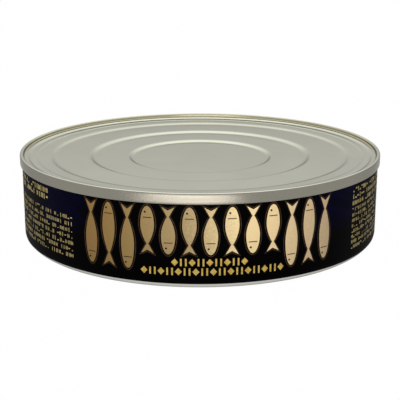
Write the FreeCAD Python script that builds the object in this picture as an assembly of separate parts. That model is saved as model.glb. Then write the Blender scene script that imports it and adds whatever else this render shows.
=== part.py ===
"""Flat round tin of sprats: a drawn can, a double-seamed lid and a printed wrap-around label.

Millimetres, +Z up. The origin is the middle of the foot, on the surface that the tin stands on. Every
piece is a full turn about +Z, so each is drawn as a section in the XZ plane, where X is the radius.

The can is one drawn sheet, wall and bottom together. It is full and shut, so it is solid up to the
lid. The lid is one thin sheet, and a double seam locks it to the can: the lid's edge runs over the
can's flange, down outside it and up again as a hook, behind the hook that hangs from the flange.
From the outside in, the layers of the seam are the lid's outer wall, the can's hook, the lid's hook,
the can's wall and the lid's chuck wall. At the foot of the chuck wall the lid turns in to a narrow
ledge, and from there its panel steps down, ring by ring, towards the middle.
"""
import FreeCAD, Part

import math
import os

# Overall sizes
SEAM_RADIUS = 51.0         # outside of the seam, the widest part of the tin
HEIGHT = 24.8              # foot to the top of the seam
SEAM_HEIGHT = 2.85         # top to bottom of the seam's outer wall
CORNER_RADIUS = 2.65       # outside bend between the can's wall and its bottom

# Sheets, and the clearances between them
LID_SHEET = 0.20
CAN_SHEET = 0.18
LABEL_SHEET = 0.10
SEAM_GAP = 0.03            # between neighbouring layers, and between the lid and what fills the can
HOOK_TIP_GAP = 0.45        # from the tip of each hook to the bend that it points at
LABEL_GAP = 0.05           # from the label's top edge to the seam

# Lid, from the seam to the ledge at the edge of its panel
SEAM_TOP_BEND = 0.50       # both upper corners of the seam
CHUCK_WALL_LEAN = 3.0      # degrees from upright
COUNTERSINK_DEPTH = 1.05   # top of the seam to the ledge
CHUCK_WALL_BEND = 0.35     # between the chuck wall and the ledge

# Rings, from the outside in: distance in from the edge to the ring's middle, its step down, its width,
# and how far the sheet falls between that ring and the next
LID_RINGS = (
    (1.42, 0.26, 1.30, 0.00),
    (3.72, 0.07, 0.80, 0.15),
    (7.98, 0.35, 1.90, 0.00),
    (19.03, 0.55, 2.00, 0.00),
    (29.98, 0.54, 1.75, 0.00),
)
BOTTOM_RINGS = (
    (9.50, -0.35, 1.80, 0.00),
    (21.50, -0.35, 1.80, 0.00),
)

# Foot, the flat ring that the tin stands on, and the step up from it to the bottom's panel
FOOT_WIDTH = 1.20
FOOT_STEP = 0.90
FOOT_STEP_WIDTH = 1.60

LABEL_WRAP = 22.5          # degrees of the lower corner that the label covers

# Radii and heights that follow
CAN_HOOK_INSIDE = SEAM_RADIUS - LID_SHEET - SEAM_GAP - CAN_SHEET
LID_HOOK_INSIDE = CAN_HOOK_INSIDE - SEAM_GAP - LID_SHEET
WALL_OUTSIDE = LID_HOOK_INSIDE - SEAM_GAP
CHUCK_WALL_TOP = WALL_OUTSIDE - CAN_SHEET - SEAM_GAP - LID_SHEET
SEAM_BOTTOM = HEIGHT - SEAM_HEIGHT
FLANGE_UNDERSIDE = HEIGHT - LID_SHEET - SEAM_GAP - CAN_SHEET


def section_point(corner):
    """A corner's place in the XZ plane."""
    return FreeCAD.Vector(corner[0], 0, corner[1])


def rounded_corner(before, corner, after):
    """The start, middle and end of the arc that rounds a corner. A sharp corner has only its own point.

    A corner is (radius, height, bend), where bend is the radius of its arc, or 0 where it is sharp.
    """
    here = section_point(corner)
    bend = corner[2]
    if not bend:
        return [here]
    back = (section_point(before) - here).normalize()
    ahead = (section_point(after) - here).normalize()
    half_angle = back.getAngle(ahead) / 2
    reach = bend / math.tan(half_angle)
    depth = bend / math.sin(half_angle) - bend
    return [here + back * reach, here + (back + ahead).normalize() * depth, here + ahead * reach]


def section_face(corners):
    """The flat face inside a closed loop of corners, with its bends as arcs."""
    neighbours = zip(corners[-1:] + corners[:-1], corners, corners[1:] + corners[:1])
    rounded = [rounded_corner(*trio) for trio in neighbours]
    edges = []
    for points, following in zip(rounded, rounded[1:] + rounded[:1]):
        if len(points) > 1:
            edges.append(Part.Arc(*points).toShape())
        if not points[-1].isEqual(following[0], Part.Precision.confusion()):
            edges.append(Part.LineSegment(points[-1], following[0]).toShape())
    return Part.Face(Part.Wire(edges))


def offset_to_left(corners, distance):
    """The open path that lies a distance to the left of another, with the bends' centres kept."""
    points = [section_point(corner) for corner in corners]
    ways = [(after - before).normalize() for before, after in zip(points, points[1:])]
    lefts = [FreeCAD.Vector(-way.z, 0, way.x) for way in ways]
    moved = []
    for point, corner, left_in, left_out in zip(points, corners, lefts[:1] + lefts, lefts + lefts[-1:]):
        middle = (left_in + left_out).normalize()
        place = point + middle * (distance / middle.dot(left_in))
        turns_left = left_in.cross(left_out).y < 0
        bend = corner[2] and corner[2] + (-distance if turns_left else distance)
        moved.append((place.x, place.z, bend))
    return moved


def sheet_face(corners, thickness):
    """Section of a bent sheet that lies to the left of an open path."""
    return section_face(corners + offset_to_left(corners, thickness)[::-1])


def ring_corners(edge, level, rings):
    """Corners of stepped rings, from the outside in, and the level inside the last of them.

    Each ring is an S of two equal bends.
    """
    corners = []
    for inset, step, width, fall in rings:
        turn = 2 * math.atan2(abs(step), width)
        bend = width / 2 / math.sin(turn)
        offset = width / 2 - bend * math.tan(turn / 2)
        middle = edge - inset
        corners.append((middle + offset, level, bend))
        level -= step
        corners.append((middle - offset, level, bend))
        level -= fall
    return corners, level


def lid_top_corners():
    """The lid's upper side, from the outer corner of the seam to the axis."""
    ledge = HEIGHT - COUNTERSINK_DEPTH
    chuck_wall_foot = CHUCK_WALL_TOP - COUNTERSINK_DEPTH * math.tan(math.radians(CHUCK_WALL_LEAN))
    rings, middle = ring_corners(chuck_wall_foot, ledge, LID_RINGS)
    return [
        (SEAM_RADIUS, HEIGHT, SEAM_TOP_BEND),
        (CHUCK_WALL_TOP, HEIGHT, SEAM_TOP_BEND),
        (chuck_wall_foot, ledge, CHUCK_WALL_BEND),
        *rings,
        (0, middle, 0),
    ]


def lid_face():
    """Section of the lid, from the tip of its hook round the seam and over the panel."""
    bottom_bend = (SEAM_RADIUS - LID_HOOK_INSIDE) / 2
    hook = [
        (LID_HOOK_INSIDE, FLANGE_UNDERSIDE - HOOK_TIP_GAP, 0),
        (LID_HOOK_INSIDE, SEAM_BOTTOM, bottom_bend),
        (SEAM_RADIUS, SEAM_BOTTOM, bottom_bend),
    ]
    return sheet_face(hook + lid_top_corners(), LID_SHEET)


def can_face():
    """Section of the full can, with the flange and the hook that the lid locks onto.

    Its upper side follows the underside of the lid, from the outside of the hook to the axis.
    """
    hook_tip = SEAM_BOTTOM + LID_SHEET + HOOK_TIP_GAP
    flange_bend = (CAN_HOOK_INSIDE - WALL_OUTSIDE) / 2
    foot_inside = WALL_OUTSIDE - CORNER_RADIUS - FOOT_WIDTH
    step, panel = ring_corners(foot_inside, 0, [(FOOT_STEP_WIDTH / 2, -FOOT_STEP, FOOT_STEP_WIDTH, 0)])
    rings, middle = ring_corners(foot_inside, panel, BOTTOM_RINGS)
    underside = [(0, middle, 0), *rings[::-1], *step[::-1]]
    wall = [
        (WALL_OUTSIDE, 0, CORNER_RADIUS),
        (WALL_OUTSIDE, FLANGE_UNDERSIDE, flange_bend),
        (CAN_HOOK_INSIDE, FLANGE_UNDERSIDE, flange_bend),
        (CAN_HOOK_INSIDE, hook_tip, 0),
    ]
    below_lid = offset_to_left([(SEAM_RADIUS, hook_tip, 0), *lid_top_corners()], LID_SHEET + SEAM_GAP)
    return section_face(underside + wall + below_lid)


def label_face():
    """Section of the label, from under the seam down the wall and round part of the lower corner."""
    wrap = math.radians(LABEL_WRAP)
    corner_height = CORNER_RADIUS * (1 - math.tan(wrap / 2))
    lower_end = (WALL_OUTSIDE - CORNER_RADIUS * (1 - math.cos(wrap)), CORNER_RADIUS * (1 - math.sin(wrap)), 0)
    path = [
        (WALL_OUTSIDE, SEAM_BOTTOM - LABEL_GAP, 0),
        (WALL_OUTSIDE, corner_height, CORNER_RADIUS),
        lower_end,
    ]
    return sheet_face(path, LABEL_SHEET)


def main():
    """Turns each section about the axis and writes one STEP file for each piece."""
    os.makedirs("parts", exist_ok=True)
    for name, face in (("can", can_face()), ("lid", lid_face()), ("label", label_face())):
        piece = face.revolve(FreeCAD.Vector(0, 0, 0), FreeCAD.Vector(0, 0, 1), 360)
        print(f"{name}: {piece.ShapeType}, valid {piece.isValid()}, {piece.Volume / 1000:.3f} cm3")
        piece.exportStep(f"parts/{name}.step")


main()
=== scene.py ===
"""A shut round tin of sprats in a plain studio.

The tin is a drawn tinplate can, a lacquered lid that a double seam locks to it, and a black label. The
label's print is generic: a frieze of gold sprats over two rows of yellow ornaments, between blocks of
small marks that stand for its notices.
"""

import logging
import math
import random
from dataclasses import dataclass, field
from enum import Enum
from typing import NamedTuple

import bmesh
import bpy
from mathutils import Matrix, Vector


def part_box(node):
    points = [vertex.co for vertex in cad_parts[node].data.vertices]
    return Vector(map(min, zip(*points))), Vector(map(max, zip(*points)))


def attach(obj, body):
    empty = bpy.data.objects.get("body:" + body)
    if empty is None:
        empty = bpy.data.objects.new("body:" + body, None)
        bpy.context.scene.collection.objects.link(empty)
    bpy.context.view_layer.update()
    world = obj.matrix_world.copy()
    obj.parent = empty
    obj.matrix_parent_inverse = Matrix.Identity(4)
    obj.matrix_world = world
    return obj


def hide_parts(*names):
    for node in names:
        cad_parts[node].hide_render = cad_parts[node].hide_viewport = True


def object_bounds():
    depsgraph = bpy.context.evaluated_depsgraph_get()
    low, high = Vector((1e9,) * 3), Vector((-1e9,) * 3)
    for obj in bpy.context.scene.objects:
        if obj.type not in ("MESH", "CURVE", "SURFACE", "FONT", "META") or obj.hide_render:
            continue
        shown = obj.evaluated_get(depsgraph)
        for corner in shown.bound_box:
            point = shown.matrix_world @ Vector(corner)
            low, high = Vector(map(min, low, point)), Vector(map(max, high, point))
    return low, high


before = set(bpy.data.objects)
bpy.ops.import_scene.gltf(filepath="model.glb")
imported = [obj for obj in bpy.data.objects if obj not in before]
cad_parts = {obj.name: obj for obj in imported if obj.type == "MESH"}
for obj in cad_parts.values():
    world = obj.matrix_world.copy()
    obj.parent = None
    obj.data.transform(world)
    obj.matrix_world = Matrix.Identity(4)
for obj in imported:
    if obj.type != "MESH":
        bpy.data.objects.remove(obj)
cad_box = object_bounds()

log = logging.getLogger("tin_of_sprats")

MM = 0.001
FULL_TURN = 2 * math.pi
UP = Vector((0, 0, 1))
WELD_MM = 0.0005                        # points nearer than this are one point

# Sizes that the frame fixes, in metres
SEAM_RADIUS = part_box("lid")[1].x
TIN_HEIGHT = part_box("lid")[1].z
LABEL_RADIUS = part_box("label")[1].x
LABEL_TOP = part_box("label")[1].z


# Materials


def linear_colour(hex_colour: str) -> tuple[float, float, float, float]:
    """Turns an sRGB colour into the linear one that a shader takes.

    Args:
        hex_colour: six hex digits, with or without a leading hash.

    Returns:
        Linear red, green and blue, and an alpha of 1.
    """
    digits = hex_colour.lstrip("#")
    channels = [int(digits[i:i + 2], 16) / 255 for i in (0, 2, 4)]
    linear = [c / 12.92 if c <= 0.04045 else ((c + 0.055) / 1.055) ** 2.4 for c in channels]
    return (*linear, 1.0)


def add_node(
    tree: bpy.types.NodeTree, kind: str, inputs: dict[str | int, object] | None = None, **settings: object
) -> bpy.types.Node:
    """Adds one node with its settings and links.

    Args:
        tree: the node tree that gets the node.
        kind: the node's type, such as "ShaderNodeMath".
        inputs: for each input's name or number, a value, or the output socket that feeds it.
        settings: the node's own properties, by name.

    Returns:
        The new node.
    """
    node = tree.nodes.new(kind)
    for name, value in settings.items():
        setattr(node, name, value)
    for key, value in (inputs or {}).items():
        if isinstance(value, bpy.types.NodeSocket):
            tree.links.new(value, node.inputs[key])
        else:
            node.inputs[key].default_value = value
    return node


def add_ramp(
    tree: bpy.types.NodeTree, factor: bpy.types.NodeSocket, stops: dict[float, str]
) -> bpy.types.NodeSocket:
    """Adds a colour ramp.

    Args:
        tree: the node tree that gets the ramp.
        factor: the output that picks the place along the ramp.
        stops: the sRGB hex colour at each place from 0 to 1.

    Returns:
        The ramp's colour output.
    """
    ramp = add_node(tree, "ShaderNodeValToRGB", {"Fac": factor})
    elements = ramp.color_ramp.elements
    places = list(stops.items())
    for element, (place, hex_colour) in zip(elements, (places[0], places[-1])):
        element.position = place
        element.color = linear_colour(hex_colour)
    for place, hex_colour in places[1:-1]:
        elements.new(place).color = linear_colour(hex_colour)
    return ramp.outputs["Color"]


def new_material(name: str, hex_colour: str) -> tuple[bpy.types.Material, bpy.types.NodeTree, bpy.types.Node]:
    """Starts a material from a plain Principled shader.

    Args:
        name: the material's name.
        hex_colour: its base colour, sRGB, also its colour in the viewport.

    Returns:
        The material, its node tree and its Principled shader.
    """
    material = bpy.data.materials.new(name)
    material.use_nodes = True
    material.diffuse_color = linear_colour(hex_colour)
    shader = material.node_tree.nodes["Principled BSDF"]
    shader.inputs["Base Color"].default_value = linear_colour(hex_colour)
    return material, material.node_tree, shader


def turn_about_axis(tree: bpy.types.NodeTree) -> tuple[bpy.types.NodeSocket, bpy.types.NodeSocket]:
    """Gives the angle round the tin, in radians from the front, positive to the right, and the position.

    Args:
        tree: the node tree that gets the nodes.

    Returns:
        The angle's output and the Object coordinates' output, in metres.
    """
    place = add_node(tree, "ShaderNodeTexCoord").outputs["Object"]
    parts = add_node(tree, "ShaderNodeSeparateXYZ", {0: place})
    front = add_node(tree, "ShaderNodeMath", {0: parts.outputs["Y"], 1: -1.0}, operation="MULTIPLY")
    angle = add_node(tree, "ShaderNodeMath",
                     {0: parts.outputs["X"], 1: front.outputs[0]}, operation="ARCTAN2")
    return angle.outputs[0], place


@dataclass(frozen=True)
class Tinplate:
    """Thin steel sheet with a coat of tin, rolled bright and lacquered.

    It is a soft mirror. Rolling leaves fine straight lines that broaden its reflections a little, and the
    lacquer warms it, clouds it faintly and dulls it where light skims it.
    """

    name: str
    colour: str
    pale_colour: str
    roughness: float
    roughness_spread: float = 0.015
    line_spacing_mm: float = 0.35       # coarser than the real 0.05 mm, so that the lines can show
    line_length_mm: float = 6.0
    line_depth_mm: float = 0.0002
    cloud_size_mm: float = 14.0
    noise_range: tuple[float, float] = (0.3, 0.7)   # nearly all of the noise lies between these
    edge_tint: str = "#B4B4B4"          # the share of skimming light that the lacquer lets back out

    def build(self) -> bpy.types.Material:
        """Makes the material, with its lines along X and its clouds in all directions.

        Returns:
            The finished material.
        """
        material, tree, shader = new_material(self.name, self.colour)
        low, high = self.noise_range
        spacing = 1 / (self.line_spacing_mm * MM)
        shader.inputs["Metallic"].default_value = 1.0
        shader.inputs["Specular Tint"].default_value = linear_colour(self.edge_tint)
        place = add_node(tree, "ShaderNodeTexCoord").outputs["Object"]
        stretch = (1 / (self.line_length_mm * MM), spacing, spacing)
        drawn = add_node(tree, "ShaderNodeMapping", {"Vector": place, "Scale": stretch})
        lines = add_node(tree, "ShaderNodeTexNoise",
                         {"Vector": drawn.outputs[0], "Scale": 1.0, "Detail": 3.0})
        clouds = add_node(tree, "ShaderNodeTexNoise",
                          {"Vector": place, "Scale": 1 / (self.cloud_size_mm * MM), "Detail": 2.0})
        colour = add_ramp(tree, clouds.outputs["Fac"], {low: self.colour, high: self.pale_colour})
        tree.links.new(colour, shader.inputs["Base Color"])
        gloss = add_node(tree, "ShaderNodeMapRange", {
            "Value": lines.outputs["Fac"], "From Min": low, "From Max": high,
            "To Min": self.roughness - self.roughness_spread,
            "To Max": self.roughness + self.roughness_spread})
        tree.links.new(gloss.outputs["Result"], shader.inputs["Roughness"])
        relief = add_node(tree, "ShaderNodeBump", {
            "Height": lines.outputs["Fac"], "Strength": 1.0, "Distance": self.line_depth_mm * MM})
        tree.links.new(relief.outputs["Normal"], shader.inputs["Normal"])
        return material


@dataclass(frozen=True)
class BlackLabel:
    """Matt printed film. It is black with no sheen, with broad navy brush strokes beside the small marks.

    The strokes lie halfway between the front and the sides, and fade out towards the lower edge.
    """

    name: str = "black_label_film"
    black: str = "#030203"
    navy: str = "#060620"
    fade_end_mm: float = 6.0            # height at which the navy is gone
    fade_start_mm: float = 14.0
    roughness: float = 0.55
    specular: float = 0.01
    stroke_width_mm: float = 1.6
    stroke_length_mm: float = 22.0
    stroke_slope: float = math.radians(24)
    stroke_range: tuple[float, float] = (0.25, 0.62)    # of the noise, from no navy to all navy
    zone_start: float = 0.86            # sine of twice the angle, at which the strokes begin

    def build(self) -> bpy.types.Material:
        """Makes the material from slanting strokes, kept to their zones.

        Returns:
            The finished material.
        """
        material, tree, shader = new_material(self.name, self.black)
        shader.inputs["Roughness"].default_value = self.roughness
        shader.inputs["Specular IOR Level"].default_value = self.specular
        angle, place = turn_about_axis(tree)
        height = add_node(tree, "ShaderNodeSeparateXYZ", {0: place}).outputs["Z"]
        along = add_node(tree, "ShaderNodeMath", {0: angle, 1: LABEL_RADIUS}, operation="MULTIPLY")
        flat = add_node(tree, "ShaderNodeCombineXYZ", {"X": along.outputs[0], "Y": height})
        turned = add_node(tree, "ShaderNodeMapping", {
            "Vector": flat.outputs[0], "Rotation": (0, 0, self.stroke_slope)})
        stretch = (1 / (self.stroke_length_mm * MM), 1 / (self.stroke_width_mm * MM), 1.0)
        drawn = add_node(tree, "ShaderNodeMapping", {"Vector": turned.outputs[0], "Scale": stretch})
        strokes = add_node(tree, "ShaderNodeTexNoise",
                           {"Vector": drawn.outputs[0], "Scale": 1.0, "Detail": 2.0})
        # The sine of twice the angle peaks halfway between the front and the sides.
        double = add_node(tree, "ShaderNodeMath", {0: angle, 1: 2.0}, operation="MULTIPLY")
        sine = add_node(tree, "ShaderNodeMath", {0: double.outputs[0]}, operation="SINE")
        side = add_node(tree, "ShaderNodeMath", {0: sine.outputs[0]}, operation="ABSOLUTE")
        zone = add_node(tree, "ShaderNodeMapRange",
                        {"Value": side.outputs[0], "From Min": self.zone_start, "From Max": 1.0},
                        interpolation_type="SMOOTHSTEP")
        fade = add_node(tree, "ShaderNodeMapRange", {
            "Value": height, "From Min": self.fade_end_mm * MM, "From Max": self.fade_start_mm * MM})
        placed = add_node(tree, "ShaderNodeMath",
                          {0: zone.outputs["Result"], 1: fade.outputs["Result"]}, operation="MULTIPLY")
        amount = add_node(tree, "ShaderNodeMath",
                          {0: strokes.outputs["Fac"], 1: placed.outputs[0]}, operation="MULTIPLY")
        none, full = self.stroke_range
        colour = add_ramp(tree, amount.outputs[0], {none: self.black, full: self.navy})
        tree.links.new(colour, shader.inputs["Base Color"])
        return material


@dataclass(frozen=True)
class GoldInk:
    """Gold bronze ink, a faintly grainy satin that blends from brown gold on the left to champagne, with a
    painted highlight just right of the front.
    """

    name: str = "gold_bronze_ink_painted_highlight"
    # The blend is partly the ink's own colour and partly painted light: a painted highlight peaks just right
    # of the front, and the blend darkens towards both sides.
    blend_and_highlight: dict[float, str] = field(default_factory=lambda: {
        0.0: "#8C6B3B", 0.22: "#99804E", 0.42: "#B0996E", 0.60: "#FCE4AC", 0.72: "#F8DDA8",
        0.86: "#DCC197", 1.0: "#BBA582"})
    middle: float = 0.42                # the place along the blend that gives the plain colour
    start: float = math.radians(-36)
    end: float = math.radians(42)
    roughness: float = 0.5
    specular: float = 0.2
    grain_mm: float = 0.5               # coarser than the real flakes, so that the grain can show
    grain_strength: float = 0.12        # share of the blend that the grain shifts

    def build(self) -> bpy.types.Material:
        """Makes the material, with the same blend on the front and the back.

        Returns:
            The finished material.
        """
        material, tree, shader = new_material(self.name, self.blend_and_highlight[self.middle])
        shader.inputs["Roughness"].default_value = self.roughness
        shader.inputs["Specular IOR Level"].default_value = self.specular
        angle, place = turn_about_axis(tree)
        # The back of the label repeats the front, so the blend and its painted highlight repeat after half a
        # turn.
        shifted = add_node(tree, "ShaderNodeMath", {0: angle, 1: math.pi / 2}, operation="ADD")
        panel = add_node(tree, "ShaderNodeMath",
                         {0: shifted.outputs[0], 1: math.pi}, operation="FLOORED_MODULO")
        fraction = add_node(tree, "ShaderNodeMapRange", {
            "Value": panel.outputs[0],
            "From Min": self.start + math.pi / 2, "From Max": self.end + math.pi / 2})
        grain = add_node(tree, "ShaderNodeTexNoise",
                         {"Vector": place, "Scale": 1 / (self.grain_mm * MM), "Detail": 2.0})
        centred = add_node(tree, "ShaderNodeMath", {0: grain.outputs["Fac"], 1: 0.5}, operation="SUBTRACT")
        mottled = add_node(tree, "ShaderNodeMath",
                           {0: centred.outputs[0], 1: self.grain_strength, 2: fraction.outputs["Result"]},
                           operation="MULTIPLY_ADD")
        tree.links.new(add_ramp(tree, mottled.outputs[0], self.blend_and_highlight), shader.inputs["Base Color"])
        return material


@dataclass(frozen=True)
class FlatInk:
    """Plain matt printing ink, a little uneven where it soaked in."""

    name: str
    colour: str
    thin_colour: str
    roughness: float = 0.6
    specular: float = 0.1
    mottle_mm: float = 0.8
    noise_range: tuple[float, float] = (0.35, 0.65)

    def build(self) -> bpy.types.Material:
        """Makes the material from its full colour and its thin colour.

        Returns:
            The finished material.
        """
        material, tree, shader = new_material(self.name, self.colour)
        shader.inputs["Roughness"].default_value = self.roughness
        shader.inputs["Specular IOR Level"].default_value = self.specular
        place = add_node(tree, "ShaderNodeTexCoord").outputs["Object"]
        mottle = add_node(tree, "ShaderNodeTexNoise", {"Vector": place, "Scale": 1 / (self.mottle_mm * MM)})
        low, high = self.noise_range
        colour = add_ramp(tree, mottle.outputs["Fac"], {low: self.thin_colour, high: self.colour})
        tree.links.new(colour, shader.inputs["Base Color"])
        return material


# Turned sheet metal


class Corner(NamedTuple):
    """A corner of a turned section, in mm: its radius and height, and the radius of its bend."""

    radius: float
    height: float
    bend: float = 0.0


class Ring(NamedTuple):
    """A stepped ring in a sheet, in mm."""

    inset: float                        # from an edge in to the ring's middle
    step: float                         # down, going inwards
    width: float
    fall: float = 0.0                   # of the sheet between this ring and the next


def ring_corners(edge: float, level: float, rings: tuple[Ring, ...]) -> list[Corner]:
    """Makes the corners of stepped rings, from the outside in. Each ring is an S of two equal bends.

    Args:
        edge: the radius that the insets are measured from, in mm.
        level: the height outside the first ring, in mm.
        rings: the rings, from the outside in.

    Returns:
        The corners, two for each ring.
    """
    corners = []
    for ring in rings:
        turn = 2 * math.atan2(abs(ring.step), ring.width)
        bend = ring.width / 2 / math.sin(turn)
        offset = ring.width / 2 - bend * math.tan(turn / 2)
        middle = edge - ring.inset
        corners.append(Corner(middle + offset, level, bend))
        level -= ring.step
        corners.append(Corner(middle - offset, level, bend))
        level -= ring.fall
    return corners


class Growth(Enum):
    """Which way a sheet gets its thickness from the face that its section draws, as solidify's sign."""

    WITH_NORMALS = -1
    AGAINST_NORMALS = 1


@dataclass
class SeamSizes:
    """Sheets and gaps of the double seam in mm, outside to inside, and the radii that follow."""

    radius: float = SEAM_RADIUS / MM
    top: float = TIN_HEIGHT / MM
    height: float = 2.85
    lid_sheet: float = 0.20
    can_sheet: float = 0.18
    gap: float = 0.03
    hook_tip_gap: float = 0.45
    top_bend: float = 0.50
    bottom: float = field(init=False)
    can_hook_inside: float = field(init=False)
    lid_hook_inside: float = field(init=False)
    wall_outside: float = field(init=False)
    chuck_wall: float = field(init=False)
    flange_underside: float = field(init=False)

    def __post_init__(self) -> None:
        """Works out the radii and heights of the layers."""
        self.bottom = self.top - self.height
        self.can_hook_inside = self.radius - self.lid_sheet - self.gap - self.can_sheet
        self.lid_hook_inside = self.can_hook_inside - self.gap - self.lid_sheet
        self.wall_outside = self.lid_hook_inside - self.gap
        self.chuck_wall = self.wall_outside - self.can_sheet - self.gap - self.lid_sheet
        self.flange_underside = self.top - self.lid_sheet - self.gap - self.can_sheet


@dataclass
class TurnedSheet:
    """A bent sheet turned all the way round the tin's axis, as one closed shell."""

    name: str
    thickness: float
    growth: Growth = Growth.WITH_NORMALS
    seam: SeamSizes = field(default_factory=SeamSizes)
    steps: int = 192
    bend_segments: int = 7
    longest_run: float = 0.6            # mm between the loops that keep the flats flat beside a bend
    sharp_angle: float = math.radians(40)

    def section(self) -> list[Corner]:
        """Gives the corners of the sheet's one face, with the sheet on the left of the path."""
        raise NotImplementedError

    def build(self) -> bpy.types.Object:
        """Makes the mesh: draws the section, bends its corners, turns it and gives it its thickness.

        Returns:
            The new object, at the origin.
        """
        bm = bmesh.new()
        corners = self.section()
        verts = [bm.verts.new((corner.radius * MM, 0, corner.height * MM)) for corner in corners]
        for pair in zip(verts, verts[1:]):
            bm.edges.new(pair)
        for vert, corner in zip(verts[1:-1], corners[1:-1]):
            self.bend_corner(bm, vert, corner.bend)
        for edge in list(bm.edges):
            cuts = int(edge.calc_length() / (self.longest_run * MM))
            if cuts:
                bmesh.ops.subdivide_edges(bm, edges=[edge], cuts=cuts)
        bmesh.ops.spin(bm, geom=bm.verts[:] + bm.edges[:], cent=(0, 0, 0), axis=UP, angle=FULL_TURN,
                       steps=self.steps, use_merge=True)
        bmesh.ops.remove_doubles(bm, verts=bm.verts[:], dist=WELD_MM * MM)
        bmesh.ops.recalc_face_normals(bm, faces=bm.faces[:])
        bmesh.ops.solidify(bm, geom=bm.faces[:], thickness=self.growth.value * self.thickness * MM)
        bmesh.ops.recalc_face_normals(bm, faces=bm.faces[:])
        return finished_object(bm, self.name, self.sharp_angle)

    def bend_corner(self, bm: bmesh.types.BMesh, vert: bmesh.types.BMVert, bend: float) -> None:
        """Rounds one corner of the section with an arc.

        Args:
            bm: the mesh that holds the section.
            vert: the corner.
            bend: the arc's radius in mm, or 0 for a sharp corner.
        """
        if not bend:
            return
        ways = [(edge.other_vert(vert).co - vert.co).normalized() for edge in vert.link_edges]
        reach = bend * MM / math.tan(ways[0].angle(ways[1]) / 2)
        bmesh.ops.bevel(bm, geom=[vert], offset=reach, offset_type="OFFSET", segments=self.bend_segments,
                        profile=0.5, affect="VERTICES", material=-1)


def finished_object(
    bm: bmesh.types.BMesh, name: str, sharp_angle: float = math.radians(30)
) -> bpy.types.Object:
    """Turns a finished bmesh into a smooth-shaded object at the origin.

    Args:
        bm: the mesh, which is freed.
        name: the object's name.
        sharp_angle: faces that meet at more than this, in radians, keep a hard edge.

    Returns:
        The object, linked to the scene.
    """
    for face in bm.faces:
        face.smooth = True
    mesh = bpy.data.meshes.new(name)
    bm.to_mesh(mesh)
    bm.free()
    mesh.set_sharp_from_angle(angle=sharp_angle)
    piece = bpy.data.objects.new(name, mesh)
    bpy.context.scene.collection.objects.link(piece)
    return piece


def dress(piece: bpy.types.Object, slot: str, *finishes: bpy.types.Material) -> None:
    """Gives a piece its materials and its place on the one rigid body.

    Args:
        piece: the piece.
        slot: the record's material slot that its finish comes from; not used.
        finishes: its materials, in the order of the faces' material numbers.
    """
    for finish in finishes:
        piece.data.materials.append(finish)
    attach(piece, "root")


@dataclass
class Lid(TurnedSheet):
    """The lid: hook, seam wall, chuck wall, ledge, and the panel that steps down to its middle.

    Outside the third ring, its ledge and steps stand up to 0.13 mm off the solid lid's. The solid's first
    ring is a little too gentle there to catch the light.
    """

    name: str = "double_seamed_lid"
    thickness: float = SeamSizes.lid_sheet
    growth: Growth = Growth.AGAINST_NORMALS
    chuck_wall_lean: float = math.radians(3)
    countersink_depth: float = 0.92
    chuck_wall_bend: float = 0.35
    rings: tuple[Ring, ...] = (
        Ring(1.42, 0.34, 1.30, fall=0.04), Ring(3.72, 0.10, 0.80, fall=0.13), Ring(7.98, 0.35, 1.90),
        Ring(19.03, 0.55, 2.00), Ring(29.98, 0.54, 1.75))

    def section(self) -> list[Corner]:
        """Draws the lid's outer face.

        Returns:
            Its corners, from the tip of its hook round the seam to the axis.
        """
        seam = self.seam
        hook_bend = (seam.radius - seam.lid_hook_inside) / 2
        ledge = seam.top - self.countersink_depth
        chuck_wall_foot = seam.chuck_wall - self.countersink_depth * math.tan(self.chuck_wall_lean)
        rings = ring_corners(chuck_wall_foot, ledge, self.rings)
        return [
            Corner(seam.lid_hook_inside, seam.flange_underside - seam.hook_tip_gap),
            Corner(seam.lid_hook_inside, seam.bottom, hook_bend),
            Corner(seam.radius, seam.bottom, hook_bend),
            Corner(seam.radius, seam.top, seam.top_bend),
            Corner(seam.chuck_wall, seam.top, seam.top_bend),
            Corner(chuck_wall_foot, ledge, self.chuck_wall_bend),
            *rings,
            Corner(0, rings[-1].height),
        ]


@dataclass
class Can(TurnedSheet):
    """The drawn can: bottom, foot, corner, wall, flange and the hook inside the seam."""

    name: str = "drawn_can"
    thickness: float = SeamSizes.can_sheet
    corner_bend: float = 2.65
    foot_width: float = 1.20
    rings: tuple[Ring, ...] = (Ring(0.80, -0.90, 1.60), Ring(9.50, -0.35, 1.80), Ring(21.50, -0.35, 1.80))

    def section(self) -> list[Corner]:
        """Draws the can's outer face.

        Returns:
            Its corners, from the axis under the bottom and up the wall to the hook's tip.
        """
        seam = self.seam
        foot_inside = seam.wall_outside - self.corner_bend - self.foot_width
        rings = ring_corners(foot_inside, 0.0, self.rings)
        flange_bend = (seam.can_hook_inside - seam.wall_outside) / 2
        return [
            Corner(0, rings[-1].height),
            *rings[::-1],
            Corner(seam.wall_outside, 0, self.corner_bend),
            Corner(seam.wall_outside, seam.flange_underside, flange_bend),
            Corner(seam.can_hook_inside, seam.flange_underside, flange_bend),
            Corner(seam.can_hook_inside, seam.bottom + seam.lid_sheet + seam.hook_tip_gap),
        ]


@dataclass
class Label(TurnedSheet):
    """The label's film, which hugs the wall and reaches round part of the lower corner."""

    name: str = "label_sleeve"
    thickness: float = 0.10
    corner_bend: float = Can.corner_bend
    wrap: float = math.radians(22.5)

    def section(self) -> list[Corner]:
        """Draws the label's inner face.

        Returns:
            Its corners, from its top edge down to its end on the can's lower corner.
        """
        outside = self.seam.wall_outside
        corner_height = self.corner_bend * (1 - math.tan(self.wrap / 2))
        return [
            Corner(outside, LABEL_TOP / MM),
            Corner(outside, corner_height, self.corner_bend),
            Corner(outside - self.corner_bend * (1 - math.cos(self.wrap)),
                   self.corner_bend * (1 - math.sin(self.wrap))),
        ]


# Print


class Heading(Enum):
    """Which way a printed fish swims."""

    UP = 1
    DOWN = -1


class Mark(Enum):
    """Simple shapes that stand for letters in the small notices. The value is how often each comes."""

    POST = 3
    PAIR = 5
    DASH = 2
    DOT = 1


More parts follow.
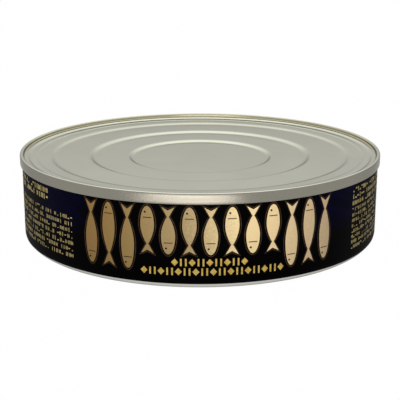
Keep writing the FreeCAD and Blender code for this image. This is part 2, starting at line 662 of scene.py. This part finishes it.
def flat_matrix(x: float, z: float, width: float, height: float) -> Matrix:
    """Places a unit shape upright on the flat print sheet, seen from the front; sizes in mm."""
    return (Matrix.Translation((x * MM, 0, z * MM)) @ Matrix.Rotation(math.pi / 2, 4, "X")
            @ Matrix.Diagonal((width * MM, height * MM, 1, 1)))


@dataclass(frozen=True)
class FishShape:
    """Proportions of a printed fish, as shares of its length unless they say otherwise."""

    body_length: float = 0.80
    narrowing: float = 0.42             # of the body's width, lost by its end
    narrowing_power: float = 1.6        # above 1, so that the body stays full for a while
    tail_length: float = 0.24
    tail_width: float = 0.92            # of the body's width
    fork: float = 0.2                   # of the tail's length: from its middle to the notch
    body_segments: int = 36


@dataclass
class PrintLayer:
    """One ink on the label: flat shapes in mm, x along the label and z up, wrapped onto the can."""

    name: str
    lift: float                         # mm that the ink stands off the film
    sink: float = 0.01                  # mm that it reaches into the film, so that no gap shows
    strip: float = 1.0                  # mm between the cuts that let a shape bend round the can
    cut_tolerance: float = 0.001        # mm from a cut at which a point already lies on it
    fish_shape: FishShape = FishShape()
    bm: bmesh.types.BMesh = field(default_factory=bmesh.new)

    def bar(self, x: float, z: float, width: float, height: float) -> None:
        """Adds an upright rectangle centred at x and z."""
        bmesh.ops.create_grid(self.bm, x_segments=1, y_segments=1, size=0.5,
                              matrix=flat_matrix(x, z, width, height))

    def disc(
        self, x: float, z: float, width: float, height: float, segments: int = 12
    ) -> list[bmesh.types.BMVert]:
        """Adds an oval centred at x and z, or with four segments a diamond, and gives its vertices."""
        made = bmesh.ops.create_circle(self.bm, cap_ends=True, segments=segments, radius=0.5,
                                       matrix=flat_matrix(x, z, width, height))
        return made["verts"]

    def fish(self, x: float, z: float, length: float, width: float, heading: Heading, swell: float) -> None:
        """Adds a fish's body and forked tail.

        Args:
            x: middle of the fish along the label, in mm.
            z: middle of the fish's height, in mm.
            length: nose to tail, in mm.
            width: widest part of the body, in mm.
            heading: the way that it swims.
            swell: how far its outline is grown on every side, in mm.
        """
        shape = self.fish_shape
        way = heading.value
        body_length = shape.body_length * length
        nose = z + way * length / 2
        body_middle = nose - way * body_length / 2
        body = self.disc(x, body_middle, width + 2 * swell, body_length + 2 * swell, shape.body_segments)
        for vert in body:
            along = (vert.co.z / MM - body_middle) / (body_length / 2 + swell)
            # The back half narrows to the tail, the front half stays full and ends in a blunt nose.
            taper = 1 - shape.narrowing * max(0.0, -way * along) ** shape.narrowing_power
            vert.co.x = (x + (vert.co.x / MM - x) * taper) * MM
        tail_length = shape.tail_length * length
        tail_middle = z - way * (length / 2 - tail_length / 2)
        # A diamond becomes a forked tail: its side points move to the rear, its rear point in to the notch.
        tail = self.disc(x, tail_middle, shape.tail_width * width + 2 * swell, tail_length + 2 * swell, 4)
        for vert in tail:
            is_side = abs(vert.co.x / MM - x) > width / 4
            is_end = -way * (vert.co.z / MM - tail_middle) > 0
            if is_side:
                vert.co.z = (tail_middle - way * (tail_length / 2 + swell)) * MM
            elif is_end:
                vert.co.z = (tail_middle - way * shape.fork * tail_length - way * swell) * MM

    def finish(self) -> bpy.types.Object:
        """Cuts the shapes into strips, wraps them onto the label, and repeats them half a turn round.

        Returns:
            The layer as one object of thin closed plates.
        """
        bm = self.bm
        edge = max(abs(vert.co.x) for vert in bm.verts)
        count = int(edge / (self.strip * MM))
        for number in range(-count, count + 1):
            bmesh.ops.bisect_plane(bm, geom=bm.verts[:] + bm.edges[:] + bm.faces[:],
                                   dist=self.cut_tolerance * MM,
                                   plane_co=(number * self.strip * MM, 0, 0), plane_no=(1, 0, 0))
        radius = LABEL_RADIUS + self.lift * MM
        for vert in bm.verts:
            angle = vert.co.x / LABEL_RADIUS
            vert.co = Vector((radius * math.sin(angle), -radius * math.cos(angle), vert.co.z))
        bmesh.ops.solidify(bm, geom=bm.faces[:], thickness=(self.lift + self.sink) * MM)
        back = bmesh.ops.duplicate(bm, geom=bm.verts[:] + bm.edges[:] + bm.faces[:])["geom"]
        turned = [item for item in back if isinstance(item, bmesh.types.BMVert)]
        bmesh.ops.rotate(bm, verts=turned, cent=(0, 0, 0), matrix=Matrix.Rotation(math.pi, 3, "Z"))
        bmesh.ops.recalc_face_normals(bm, faces=bm.faces[:])
        return finished_object(bm, self.name)


@dataclass(frozen=True)
class MarkShapes:
    """Proportions of the small marks, as shares of a block's letter pitch, letter height or weight."""

    pair_offset: float = 0.22           # of the pitch, from the middle to each bar
    pair_height: tuple[float, float] = (0.7, 1.0)       # of the height
    dash_length: float = 0.62           # of the pitch
    dash_weight: float = 1.2            # of the weight
    dash_levels: tuple[float, ...] = (-0.3, 0.0, 0.3)   # of the height, from the middle
    dot_level: float = -0.3             # of the height, from the middle
    dot_size: float = 1.4               # of the weight


@dataclass(frozen=True)
class NoticeBlock:
    """A block of small lines, all sizes in mm. Its lines start at near and run towards far."""

    near: float
    far: float
    top: float
    lines: int
    pitch: float
    letter_height: float
    letter_pitch: float
    weight: float
    seed: int
    line_share: tuple[float, float] = (0.93, 1.0)       # how much of the block's width a line takes
    word_marks: tuple[int, int] = (3, 9)
    mark_spacing: tuple[float, float] = (0.85, 1.2)     # of the letter pitch
    word_gap: float = 0.9                               # of the letter pitch
    shapes: MarkShapes = MarkShapes()

    def print_on(self, layer: PrintLayer) -> None:
        """Prints the block's lines, in words of uneven length.

        Args:
            layer: the ink that they are added to.
        """
        chance = random.Random(self.seed)
        way = 1 if self.far > self.near else -1
        for line in range(self.lines):
            middle = self.top - self.letter_height / 2 - line * self.pitch
            run = abs(self.far - self.near) * chance.uniform(*self.line_share)
            x = 0.0
            while x < run:
                for _ in range(chance.randint(*self.word_marks)):
                    self.add_mark(layer, self.near + way * x, middle, chance)
                    x += self.letter_pitch * chance.uniform(*self.mark_spacing)
                x += self.letter_pitch * self.word_gap

    def add_mark(self, layer: PrintLayer, x: float, z: float, chance: random.Random) -> None:
        """Adds one mark of a random shape.

        Args:
            layer: the ink.
            x: the mark's middle along the label, in mm.
            z: the middle of its line, in mm.
            chance: the block's own source of random numbers.
        """
        pitch, tall, weight, shapes = self.letter_pitch, self.letter_height, self.weight, self.shapes
        mark = chance.choices(list(Mark), weights=[mark.value for mark in Mark])[0]
        if mark is Mark.POST:
            layer.bar(x, z, weight, tall)
        elif mark is Mark.PAIR:
            for side in (-1, 1):
                height = tall * chance.uniform(*shapes.pair_height)
                layer.bar(x + side * pitch * shapes.pair_offset, z, weight, height)
        elif mark is Mark.DASH:
            level = z + chance.choice(shapes.dash_levels) * tall
            layer.bar(x, level, pitch * shapes.dash_length, weight * shapes.dash_weight)
        else:
            size = weight * shapes.dot_size
            layer.disc(x, z + shapes.dot_level * tall, size, size, segments=8)


@dataclass
class LabelPrint:
    """Everything printed on the label, in mm along its outside from the middle of the front."""

    frieze_left: float = -31.2
    frieze_right: float = 36.5
    fish_count: int = 13
    tall_fish: int = 3                  # at each end of the frieze
    top: float = 21.2
    tall_bottom: float = 4.8
    short_bottom: float = 9.2
    fish_width: float = 3.5
    outline_swell: float = 0.55
    moat_swell: float = 0.33
    eye_inset: float = 1.5              # from the nose
    eye_offset: float = 0.55            # from the fish's middle line
    eye_size: float = 0.55
    gill_inset: float = 2.9             # from the nose
    gill_share: float = 0.62            # of the fish's width
    gill_weight: float = 0.22
    ornament_height: float = 1.9
    diamond_share: float = 0.80         # a diamond's width, of the ornaments' pitch
    bar_share: float = 0.20             # a bar's width, of the pitch
    bar_offset: float = 0.28            # from the middle of a pair to each bar, of the pitch
    ornament_rows: tuple[tuple[float, float, float, int], ...] = (      # left, right, height, count
        (-7.3, 12.1, 7.25, 9),
        (-15.0, 21.6, 4.85, 17),
    )
    blocks: tuple[NoticeBlock, ...] = (
        NoticeBlock(-35.4, -70.5, 15.6, 7, 1.68, 1.10, 1.05, 0.24, 11),
        NoticeBlock(-45.6, -70.5, 21.0, 2, 1.80, 1.45, 1.30, 0.42, 12),
        NoticeBlock(45.9, 71.5, 20.9, 3, 1.75, 1.25, 1.20, 0.34, 13),
        NoticeBlock(45.9, 71.5, 15.5, 8, 1.46, 1.00, 1.00, 0.24, 14),
    )

    def build(self) -> list[bpy.types.Object]:
        """Prints each ink: the dark outlines, the black inside them, the gold, the yellow and the notices.

        Returns:
            One piece for each ink.
        """
        outline = PrintLayer("print_outlines", lift=0.010)
        moat = PrintLayer("print_black", lift=0.016)
        gold = PrintLayer("print_gold", lift=0.022)
        detail = PrintLayer("print_fish_details", lift=0.028)
        yellow = PrintLayer("print_ornaments", lift=0.022)
        notices = PrintLayer("print_notices", lift=0.022)
        for number, (x, bottom) in enumerate(self.fish_places()):
            heading = Heading.UP if number % 2 else Heading.DOWN
            fish = (x, (self.top + bottom) / 2, self.top - bottom, self.fish_width, heading)
            outline.fish(*fish, swell=self.outline_swell)
            moat.fish(*fish, swell=self.moat_swell)
            gold.fish(*fish, swell=0.0)
            self.add_face(detail, *fish)
        for row in self.ornament_rows:
            self.add_ornaments(yellow, *row)
        for block in self.blocks:
            block.print_on(notices)
        inks = (
            (outline, FlatInk("brown_outline_ink", "#4A3622", "#33261A")),
            (moat, FlatInk("black_ink", "#030203", "#050405", specular=0.01)),
            (gold, GoldInk()),
            (detail, FlatInk("dark_detail_ink", "#2A1D12", "#1C140D")),
            (yellow, FlatInk("yellow_ink", "#E0C76E", "#C8A44C")),
            (notices, FlatInk("old_gold_ink", "#C9BC84", "#A8935A")),
        )
        pieces = []
        for layer, ink in inks:
            piece = layer.finish()
            dress(piece, "label", ink.build())
            pieces.append(piece)
        return pieces

    def fish_places(self) -> list[tuple[float, float]]:
        """Spaces the fish evenly, with tall ones at both ends of the frieze.

        Returns:
            Each fish's place along the label and the height of its lower end, in mm.
        """
        pitch = (self.frieze_right - self.frieze_left) / self.fish_count
        places = []
        for number in range(self.fish_count):
            at_end = min(number, self.fish_count - 1 - number) < self.tall_fish
            bottom = self.tall_bottom if at_end else self.short_bottom
            places.append((self.frieze_left + pitch * (number + 0.5), bottom))
        return places

    def add_face(
        self, layer: PrintLayer, x: float, z: float, length: float, width: float, heading: Heading
    ) -> None:
        """Adds a fish's eye and gill.

        Args:
            layer: the ink.
            x: middle of the fish along the label, in mm.
            z: middle of the fish's height, in mm.
            length: nose to tail, in mm.
            width: widest part of the body, in mm.
            heading: the way that it swims.
        """
        way = heading.value
        nose = z + way * length / 2
        layer.disc(x - self.eye_offset, nose - way * self.eye_inset, self.eye_size, self.eye_size)
        layer.bar(x, nose - way * self.gill_inset, self.gill_share * width, self.gill_weight)

    def add_ornaments(self, layer: PrintLayer, left: float, right: float, z: float, count: int) -> None:
        """Adds a row of alternating diamonds and pairs of bars.

        Args:
            layer: the ink.
            left: the row's left end, in mm.
            right: the row's right end, in mm.
            z: the row's middle height, in mm.
            count: how many ornaments it has.
        """
        pitch = (right - left) / count
        for number in range(count):
            x = left + pitch * (number + 0.5)
            if number % 2:
                for offset in (-self.bar_offset * pitch, self.bar_offset * pitch):
                    layer.bar(x + offset, z, self.bar_share * pitch, self.ornament_height)
            else:
                layer.disc(x, z, self.diamond_share * pitch, self.ornament_height, segments=4)


class LidFinish(Enum):
    """Where each finish of the lid goes, as the number of its material."""

    LACQUERED = 0
    # a rougher copy of the tinplate, whose darker, greyer colour is painted shade on the seam's outer wall
    ROLLED = 1
    # a darker, more olive copy of the lacquered tinplate: painted shade on the chuck wall
    POOLED = 2


@dataclass
class Tin:
    """The whole tin: can, lid, label and print."""

    upright_limit: float = 0.8          # upward share of a face's normal, below which it belongs to a wall
    shade_reach: float = 0.3             # mm that the painted shade reaches in from the chuck wall's top
    shade_start: float = 0.15            # mm outside the chuck wall's top, on the bend above it

    def build(self) -> list[bpy.types.Object]:
        """Builds the pieces in order and puts each in place of its plain solid.

        Returns:
            Every piece of the tin.
        """
        # The lid's gold-grey lacquer gives broad soft reflections.
        lacquered = Tinplate("lacquered_tinplate", "#B6B6A8", "#BABAAC", roughness=0.22)
        # The seaming roll ironed the seam's outer wall, which looks more brushed; its darker, greyer colour
        # is painted shade.
        rolled_and_shaded = Tinplate("rolled_seam_painted_shade_tinplate", "#827F75", "#868379", roughness=0.28, edge_tint="#D0D0D0")
        # The chuck wall under the seam's rim gets a darker, more olive copy of the lacquered tinplate:
        # painted shade in the recess.
        painted_shade_tinplate = Tinplate("chuck_wall_painted_shade_tinplate", "#9C977A", "#A09B7E", roughness=0.25)
        # The can's outside has no colour in its lacquer, so it looks like bare tin.
        bright = Tinplate("bright_tinplate", "#BCBBB5", "#C1C0B9", roughness=0.24)
        can = self.build_sheet(Can(), "can", "tinplate", bright.build())
        lid_finishes = [finish.build() for finish in (lacquered, rolled_and_shaded, painted_shade_tinplate)]
        lid = self.build_sheet(Lid(), "lid", "lid_tinplate", *lid_finishes)
        self.mark_walls(lid)
        label = self.build_sheet(Label(), "label", "label", BlackLabel().build())
        return [can, lid, label, *LabelPrint().build()]

    def build_sheet(
        self, sheet: TurnedSheet, node: str, slot: str, *finishes: bpy.types.Material
    ) -> bpy.types.Object:
        """Builds one turned piece in place of a CAD node.

        Args:
            sheet: the piece.
            node: the CAD node that it stands for.
            slot: the record's material slot.
            finishes: its materials.

        Returns:
            The piece.
        """
        piece = sheet.build()
        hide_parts(node)
        dress(piece, slot, *finishes)
        return piece

    def mark_walls(self, lid: bpy.types.Object) -> None:
        """Gives the seam's outer wall the rolled finish and the chuck wall a darker olive finish, both
        darkened as painted shade.

        Args:
            lid: the lid, which has the finishes in the order of LidFinish.
        """
        seam = SeamSizes()
        for face in lid.data.polygons:
            if abs(face.normal.z) >= self.upright_limit:
                continue
            radius = math.hypot(face.center.x, face.center.y) / MM
            # The seam's outer wall: rolled, and darkened as painted shade.
            if radius > seam.radius - seam.top_bend:
                face.material_index = LidFinish.ROLLED.value
            # The chuck wall: darkened and made olive as painted shade.
            elif seam.chuck_wall - self.shade_reach < radius < seam.chuck_wall + self.shade_start:
                face.material_index = LidFinish.POOLED.value


# Studio


@dataclass(frozen=True)
class Softbox:
    """A soft rectangular lamp. Its brightness is set against a white surface in full light."""

    name: str
    place: tuple[float, float, float]
    target: tuple[float, float, float]
    width: float
    height: float
    radiance: float
    colour: str = "#FFFFFF"

    def build(self) -> None:
        """Adds the lamp, turned to face its target."""
        data = bpy.data.lights.new(self.name, "AREA")
        data.shape = "RECTANGLE"
        data.size = self.width
        data.size_y = self.height
        data.energy = self.radiance * math.pi * self.width * self.height
        data.color = linear_colour(self.colour)[:3]
        lamp = bpy.data.objects.new(self.name, data)
        lamp.location = self.place
        lamp.rotation_euler = (Vector(self.target) - lamp.location).to_track_quat("-Z", "Y").to_euler()
        bpy.context.scene.collection.objects.link(lamp)


@dataclass
class Studio:
    """Pale floor, white surroundings, softboxes and the camera, in metres.

    The lamps behind the tin light the lid, whose flats mirror them at a low angle. The low one lies on the
    floor in front, out of the camera's view, and gives the seam its bright patch.
    """

    floor_radius: float = 4.0
    floor_grey: str = "#E6E6E6"         # under the white, where the shadow falls
    floor_white: float = 0.99           # share of plain white, over a trace of the tin's shadow
    surround: float = 0.45              # strength of the surroundings as a source of light
    softboxes: tuple[Softbox, ...] = (
        Softbox("overhead_softbox", (0.0, 0.25, 0.85), (0, 0, 0.02), 0.95, 0.75, 0.85),
        Softbox("back_softbox", (0.0, 0.74, 0.54), (0, 0, 0.02), 1.3, 0.48, 0.25),
        Softbox("wide_back_softbox", (0.0, 0.79, 0.46), (0, 0, 0.02), 1.3, 0.66, 0.42),
        Softbox("front_softbox", (-0.09, -0.75, 0.20), (0, 0, 0.02), 0.66, 0.36, 2.0, "#FFF9F0"),
        Softbox("low_front_softbox", (-0.016, -0.20, 0.001), (-0.016, -0.20, 1.0),
                0.115, 0.17, 4.3, "#FFF8F4"),
    )
    camera_distance: float = 0.2821     # level distance from the tin's axis
    camera_height: float = 0.08846
    camera_pitch: float = math.radians(15.749)
    camera_lens: float = 90.59          # mm
    camera_sensor: float = 36.0         # mm, its width
    camera_near: float = 0.01           # nearest distance that the camera sees

    def build(self) -> None:
        """Adds everything round the tin."""
        self.build_camera()
        self.build_world()
        self.build_floor()
        for softbox in self.softboxes:
            softbox.build()
        bpy.context.scene.view_settings.view_transform = "Standard"

    def build_camera(self) -> None:
        """Adds the camera, in front of the tin and looking a little down on it."""
        data = bpy.data.cameras.new("camera")
        data.lens = self.camera_lens
        data.sensor_width = self.camera_sensor
        data.clip_start = self.camera_near
        camera = bpy.data.objects.new("camera", data)
        camera.location = (0, -self.camera_distance, self.camera_height)
        camera.rotation_euler = (math.pi / 2 - self.camera_pitch, 0, 0)
        bpy.context.scene.collection.objects.link(camera)
        bpy.context.scene.camera = camera

    def seen_directly(self, tree: bpy.types.NodeTree) -> bpy.types.NodeSocket:
        """Tells what is seen from what only gives light.

        Args:
            tree: the node tree that gets the nodes.

        Returns:
            An output that is 1 for rays from the camera, in reflections and through glass, and else 0.
        """
        path = add_node(tree, "ShaderNodeLightPath")
        first = add_node(tree, "ShaderNodeMath", {
            0: path.outputs["Is Camera Ray"], 1: path.outputs["Is Glossy Ray"]}, operation="MAXIMUM")
        second = add_node(tree, "ShaderNodeMath", {
            0: first.outputs[0], 1: path.outputs["Is Transmission Ray"]}, operation="MAXIMUM")
        return second.outputs[0]

    def build_world(self) -> None:
        """Makes the surroundings white to look at and a soft grey as a source of light."""
        world = bpy.data.worlds.new("white_surroundings")
        world.use_nodes = True
        tree = world.node_tree
        tree.nodes.clear()
        white = linear_colour("#FFFFFF")
        seen = add_node(tree, "ShaderNodeBackground", {"Color": white, "Strength": 1.0})
        source = add_node(tree, "ShaderNodeBackground", {"Color": white, "Strength": self.surround})
        mixed = add_node(tree, "ShaderNodeMixShader", {
            0: self.seen_directly(tree), 1: source.outputs[0], 2: seen.outputs[0]})
        add_node(tree, "ShaderNodeOutputWorld", {"Surface": mixed.outputs[0]})
        bpy.context.scene.world = world

    def build_floor(self) -> None:
        """Adds a round floor of matt painted board, white to look at, with a trace of the tin's shadow."""
        bm = bmesh.new()
        bmesh.ops.create_circle(bm, cap_ends=True, segments=64, radius=self.floor_radius)
        bmesh.ops.translate(bm, verts=bm.verts[:], vec=(0, 0, cad_box[0].z))
        floor = finished_object(bm, "floor")
        material, tree, shader = new_material("pale_floor", self.floor_grey)
        shader.inputs["Roughness"].default_value = 1.0
        shader.inputs["Specular IOR Level"].default_value = 0.0
        white = add_node(tree, "ShaderNodeEmission", {"Color": linear_colour("#FFFFFF"), "Strength": 1.0})
        share = add_node(tree, "ShaderNodeMath",
                         {0: self.seen_directly(tree), 1: self.floor_white}, operation="MULTIPLY")
        mixed = add_node(tree, "ShaderNodeMixShader", {
            0: share.outputs[0], 1: shader.outputs[0], 2: white.outputs[0]})
        tree.links.new(mixed.outputs[0], tree.nodes["Material Output"].inputs["Surface"])
        floor.data.materials.append(material)


def main() -> None:
    """Builds the studio and the tin, and reports each piece."""
    logging.basicConfig(level=logging.INFO, format="%(name)s: %(message)s")
    Studio().build()
    for piece in Tin().build():
        log.info("%s: %d faces", piece.name, len(piece.data.polygons))


if __name__ == "__main__":
    main()
